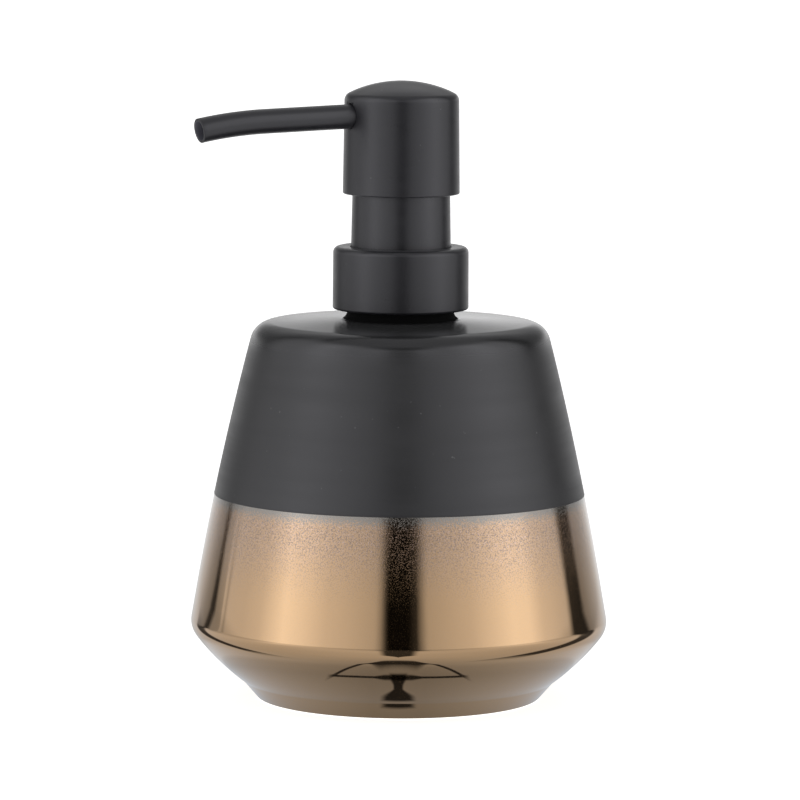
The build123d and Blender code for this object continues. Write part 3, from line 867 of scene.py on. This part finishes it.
# Painted dark lines on the table, seen only in reflections where two black cards would draw
# them. No cards are in the scene. Columns: degrees to the camera's right far off, how much
# they bend close by, half width in degrees.
PAINTED_DARK_LINES = [(-135, 0.0046, 6.5), (122, -0.0046, 8.5)]
LINE_START = 0.054          # the painted lines start this far from the axis
# Painted dark reflection marks on the table towards the camera, seen only in reflections, in
# metres ahead of the axis and aside of it.
MARK_LIGHT = 0.07
STRIPE_ROOT, STRIPE_HALF, STRIPE_SPREAD = 0.045, 0.0024, 0.17
STRIPE_END, STRIPE_CUT = (0.072, 0.084), (0.0735, 0.0705)
ARCH_AHEAD, ARCH_BEND = 0.0560, 40
ARCH_TAPER, ARCH_HALF, ARCH_REACH = (0.0050, 0.0105), (0.0054, 0.0007), (0.018, 0.021)
CHORD_DISTANCE, CHORD_TAPER, CHORD_HALF = 0.0455, (0.004, 0.007), (0.0010, 0.0004)
WAIST_TOP, WAIST_FOOT = (0.0462, 0.0475), (0.0370, 0.0362)
NECK_RUN, NECK_HALF = (0.0456, 0.0420), (0.0024, 0.0013)
FLARE_RUN, FLARE_HALF = (0.0418, 0.0376), (0.0010, 0.0040)


def ramp_through(made, value, points):
    """Curve through (place, light) points, as a share of the brightest light."""
    low, high = points[0][0], points[-1][0]
    ramp = made.new("ShaderNodeValToRGB")
    stops = ramp.color_ramp.elements
    while len(stops) > 1:
        stops.remove(stops[-1])
    for i, (place, light) in enumerate(points):
        share = (place - low) / (high - low)
        stop = stops[0] if i == 0 else stops.new(share)
        stop.position = share
        stop.color = (light / BRIGHTEST,) * 3 + (1,)
    made.link(made.remap(value, low, high, 0, 1), ramp.inputs["Fac"])
    return ramp.outputs["Color"]


def walls_round(made, angle):
    """Light of the studio's walls at an angle to the right of the camera."""
    return ramp_through(made, angle, [(math.radians(a), light) for a, light in STUDIO])


def painted_dark_line(made, angle, spread, far, bend, half_width):
    """Painted dark line in the table's reflections: dark on it and one elsewhere. spread is 1 /
    distance squared.
    """
    middle = made.math("ADD", made.math("MULTIPLY", spread, bend), math.radians(far))
    off = made.math("ABSOLUTE", made.math("SUBTRACT", angle, middle))
    width = math.radians(half_width)
    return made.remap(off, width * 0.7, width * 1.4, 0.08, 1, smooth=True)


def painted_reflection_marks(made, ahead, aside, distance):
    """Painted dark reflection marks on the table towards the camera: MARK_LIGHT in a mark and one
    elsewhere.
    """
    def mark(off, half, soft=0.5):
        ratio = made.math("DIVIDE", off, half)
        return made.remap(ratio, 1 - soft, 1 + soft, MARK_LIGHT, 1, smooth=True)

    # A painted reflection of the gap between the boxes, which ends short of the bottle with rounded
    # corners.
    beyond = made.math("MAXIMUM", made.math("SUBTRACT", ahead, STRIPE_ROOT), 0)
    wide = made.math("ADD", made.math("MULTIPLY", beyond, STRIPE_SPREAD), STRIPE_HALF)
    wide = made.math("MULTIPLY", wide, made.remap(ahead, *STRIPE_END, 0.02, 1, smooth=True))
    marks = made.math("MAXIMUM", mark(aside, wide, 0.3), made.remap(ahead, *STRIPE_CUT, 0, 1))

    # Painted reflection marks: a shallow arch that thickens in the middle, and a thin chord under
    # it.
    within = made.remap(aside, *ARCH_REACH, 0, 1)
    bent = made.math("MULTIPLY", made.math("MULTIPLY", aside, aside), ARCH_BEND)
    bent = made.math("SUBTRACT", made.math("ADD", ahead, bent), ARCH_AHEAD)
    thick = made.remap(aside, *ARCH_TAPER, *ARCH_HALF, smooth=True)
    arch = mark(made.math("ABSOLUTE", bent), thick)
    marks = made.math("MULTIPLY", marks, made.math("MAXIMUM", arch, within))
    off = made.math("ABSOLUTE", made.math("SUBTRACT", distance, CHORD_DISTANCE))
    chord = mark(off, made.remap(aside, *CHORD_TAPER, *CHORD_HALF))
    marks = made.math("MULTIPLY", marks, made.math("MAXIMUM", chord, within))

    # A painted reflection mark: a narrow waist that flares towards the foot.
    neck = made.remap(ahead, *NECK_RUN, *NECK_HALF, smooth=True)
    flare = made.remap(ahead, *FLARE_RUN, *FLARE_HALF, smooth=True)
    waist = mark(aside, made.math("MAXIMUM", neck, flare), 0.3)
    above = made.remap(ahead, *WAIST_TOP, 0, 1)
    below = made.remap(ahead, *WAIST_FOOT, 0, 1)
    outside = made.math("MAXIMUM", above, below)
    return made.math("MULTIPLY", marks, made.math("MAXIMUM", waist, outside))


def painted_table_light(made):
    """What reflections show of the table: a painted reflection of the boxes far off, painted shade
    and painted dark marks close by.
    """
    front, right = camera_axes()
    ahead, aside = made.along(front), made.along(right)
    angle = made.math("ARCTAN2", aside, ahead)
    ahead_squared = made.math("MULTIPLY", ahead, ahead)
    square = made.math("ADD", ahead_squared, made.math("MULTIPLY", aside, aside))
    distance = made.math("SQRT", square)

    # Close by, painted shade: the table is dimmer in front than at the sides, and a little bluer.
    close = ramp_through(made, distance, PAINTED_TABLE_SHADE)
    turned = made.math("ABSOLUTE", angle)
    side = made.remap(turned, math.radians(10), math.radians(110), 0.72, 1.75)
    open_table = made.remap(distance, 0.045, 0.070, 0, 1)
    close = made.multiply(close, made.mix(open_table, side, (1, 1, 1)))
    close = made.multiply(close, made.mix(open_table, (0.98, 1.03, 1.10), (1, 1, 1)))

    marks = painted_reflection_marks(made, ahead, made.math("ABSOLUTE", aside), distance)
    # The painted dark lines, seen only in reflections.
    not_begun = made.remap(distance, LINE_START, LINE_START + 0.008, 1, 0)
    spread = made.math("DIVIDE", 1.0, square)
    for far, bend, half_width in PAINTED_DARK_LINES:
        line = painted_dark_line(made, angle, spread, far, bend, half_width)
        marks = made.math("MULTIPLY", marks, made.math("MAXIMUM", line, not_begun))
    close = made.multiply(close, marks)

    # Far off, a painted reflection of the boxes' light.
    far_off = made.remap(distance, 0.10, 0.45, 0, 1, smooth=True)
    painted_box_reflection = made.multiply(walls_round(made, angle), (UNDER_BOXES,) * 3)
    return made.mix(far_off, close, painted_box_reflection)


def make_floor():
    """Pale, softly glowing floor. Reflections show the painted table instead: painted shade,
    painted dark marks and a painted reflection of the boxes.
    """
    mesh = bpy.data.meshes.new("floor")
    work = bmesh.new()
    bmesh.ops.create_circle(work, cap_ends=True, segments=96, radius=14)
    work.to_mesh(mesh)
    work.free()
    floor = bpy.data.objects.new("floor", mesh)
    bpy.context.scene.collection.objects.link(floor)
    made = Surface("floor_paint", (0.88, 0.88, 0.88), 0.9)
    pale = made.mix(made.noise(0.6, 2), (0.87, 0.87, 0.87), (0.89, 0.89, 0.89))
    in_mirror = made.new("ShaderNodeLightPath").outputs["Is Glossy Ray"]
    # In reflections the floor is black and glows with painted light: painted shade, painted dark
    # marks and a painted reflection of the boxes.
    made.colour(made.mix(in_mirror, pale, (0, 0, 0)))
    glow = (FLOOR_GLOW / BRIGHTEST,) * 3
    light = made.mix(in_mirror, glow, painted_table_light(made))
    made.link(light, made.shader.inputs["Emission Color"])
    made.shader.inputs["Emission Strength"].default_value = BRIGHTEST
    made.shader.inputs["Specular IOR Level"].default_value = 0
    mesh.materials.append(made.material)


def make_world():
    """Two wide soft boxes with a dark gap at the camera, a wall behind and a dim ceiling."""
    world = bpy.data.worlds.new("studio")
    world.use_nodes = True
    bpy.context.scene.world = world
    made = NodeTree(world.node_tree)
    background = world.node_tree.nodes["Background"]
    made.place = made.new("ShaderNodeTexCoord").outputs["Generated"]
    front, right = camera_axes()
    up = made.along((0, 0, 1))
    angle = made.math("ARCTAN2", made.along(right), made.along(front))
    turned = made.math("ABSOLUTE", angle)

    # The gap between the boxes widens upwards. The wall behind is darkest at mid height.
    width = made.remap(up, 0.62, 0.86, math.radians(8), math.radians(50))
    gap = made.remap(made.math("DIVIDE", turned, width), 0.6, 1.3, 0.12, 1.0, smooth=True)
    low = made.remap(up, 0.0, 0.04, UNDER_BOXES, 1.0, smooth=True)
    behind = made.remap(turned, math.radians(100), math.radians(150), 0, 1, smooth=True)
    drop = made.math("MINIMUM", made.remap(up, 0.06, 0.24, 0, 0.76, smooth=True),
                     made.remap(up, 0.36, 0.60, 0.76, 0.50, smooth=True))
    high = made.math("MULTIPLY", behind, drop)
    share = made.math("MULTIPLY", made.math("MULTIPLY", gap, low), made.math("SUBTRACT", 1.0, high))
    walls = made.multiply(walls_round(made, angle), share)

    # A soft reflector over the camera, between the gap's foot and its top.
    rising = made.remap(up, 0.32, 0.46, 0, 1, smooth=True)
    falling = made.remap(up, 0.58, 0.70, 1, 0, smooth=True)
    facing = made.remap(turned, math.radians(10), math.radians(45), 0.24, 0, smooth=True)
    over = made.math("MULTIPLY", made.math("MULTIPLY", rising, falling), facing)
    walls = made.math("ADD", walls, over)
    ceiling = made.remap(up, 0.70, 0.86, 0, 1, smooth=True)
    made.link(made.mix(ceiling, walls, (CEILING / BRIGHTEST,) * 3), background.inputs["Color"])
    background.inputs["Strength"].default_value = BRIGHTEST


# --- Inner parts ---------------------------------------------------------------------
def make_spring(finish):
    """The return spring, with the coil of the CAD."""
    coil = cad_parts["spring"]
    points = [coil.matrix_world @ vertex.co / MM for vertex in coil.data.vertices]
    faces = [tuple(face.vertices) for face in coil.data.polygons]
    spring = new_object("return_spring", points, faces)
    spring.data.materials.append(finish)
    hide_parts("spring")
    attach(spring, "pump")
    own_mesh(spring)


def finish_inner_parts():
    """Procedural finishes for the CAD pieces, most of which are shown as they are."""
    natural = pale_plastic("natural_plastic", (0.74, 0.74, 0.72), 0.42)
    milky = pale_plastic("milky_tube", (0.80, 0.81, 0.81), 0.30)
    soft = pale_plastic("soft_plastic", (0.83, 0.83, 0.80), 0.50)
    black = satin_plastic("inner_black", 0.02, 0.45)
    steel = drawn_steel()
    rubber = soft_rubber("gasket_rubber", 0.04, 3000)
    finishes = {
        natural: ("closure", "barrel", "ball_cage", "stem", "stem_plug"),
        milky: ("dip_tube",),
        soft: ("piston",),
        black: ("stem_guide", "head_core"),
        steel: ("spring", "inlet_ball", "outlet_ball"),
        rubber: ("neck_gasket",),
    }
    for finish, nodes in finishes.items():
        for node in nodes:
            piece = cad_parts[node]
            piece.data.materials.clear()
            piece.data.materials.append(finish)
    make_spring(steel)


make_camera()
make_world()
make_floor()
bpy.context.scene.view_settings.view_transform = "Standard"

make_bottle()
make_base_pad()
satin_black = satin_plastic("satin_black", 0.010, 0.32)
make_collar(satin_black)
make_sleeve(satin_black)
make_head(satin_black)
make_spout()
make_seal()
finish_inner_parts()
